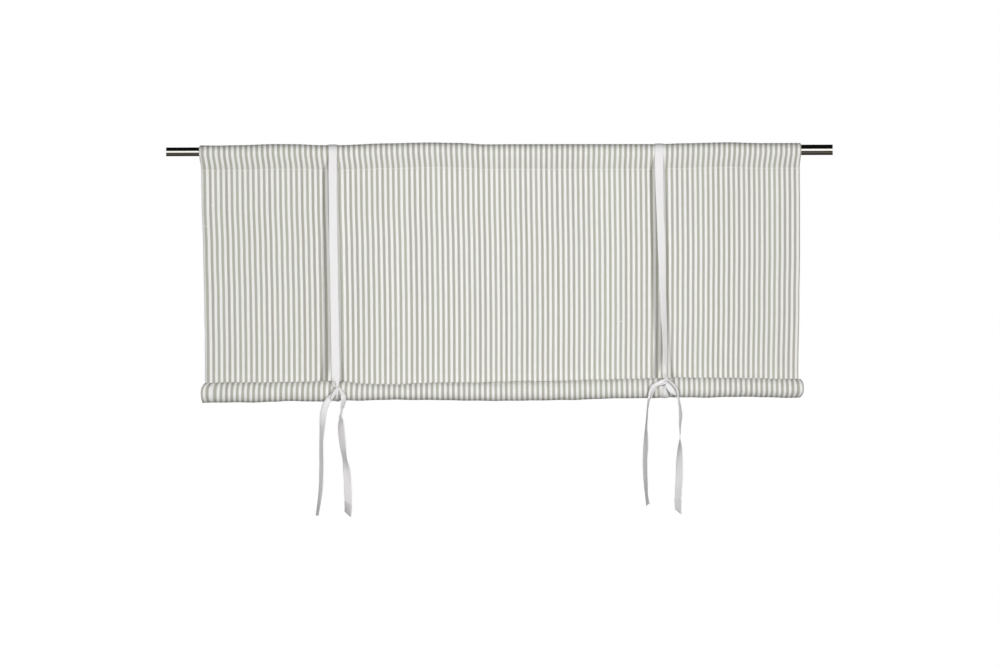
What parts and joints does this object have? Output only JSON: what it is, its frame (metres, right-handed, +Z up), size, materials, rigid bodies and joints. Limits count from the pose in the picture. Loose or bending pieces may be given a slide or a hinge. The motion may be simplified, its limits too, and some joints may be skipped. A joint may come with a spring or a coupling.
{
  "type": "tie-up roman blind on a telescopic rod",
  "caption": "Striped cloth window blind hung on a telescopic metal rod by a sewn tunnel, its lower part rolled up and held by knotted white tapes.",
  "frame": {"origin": "on the rod's axis, at the middle of the cloth's width", "axes": "+X along the rod towards the thick tube's end, -Y the room side that shows the knots, +Z up"},
  "size_m": [1.2, 0.0384, 0.6678],
  "materials": {
    "steel": "polished, slightly warm reflections",
    "bush": "natural moulded plastic",
    "cloth": "woven cotton ticking, grey-beige stripes on off-white",
    "tape": "white twill cotton tape",
    "bar": "plain sanded beech"
  },
  "bodies": {
    "blind": {"outer_tube": "steel", "blind_cloth": "cloth", "bottom_bar": "bar", "tie_tape_left": "tape", "tie_tape_right": "tape"},
    "thin_rod": {"inner_tube": "steel", "guide_bush": "bush"}
  },
  "joints": [
    {"name": "rod_slide", "type": "slide", "parent": "blind", "child": "thin_rod", "axis": [-1, 0, 0], "range_m": [-0.04, 0.1]}
  ]
}
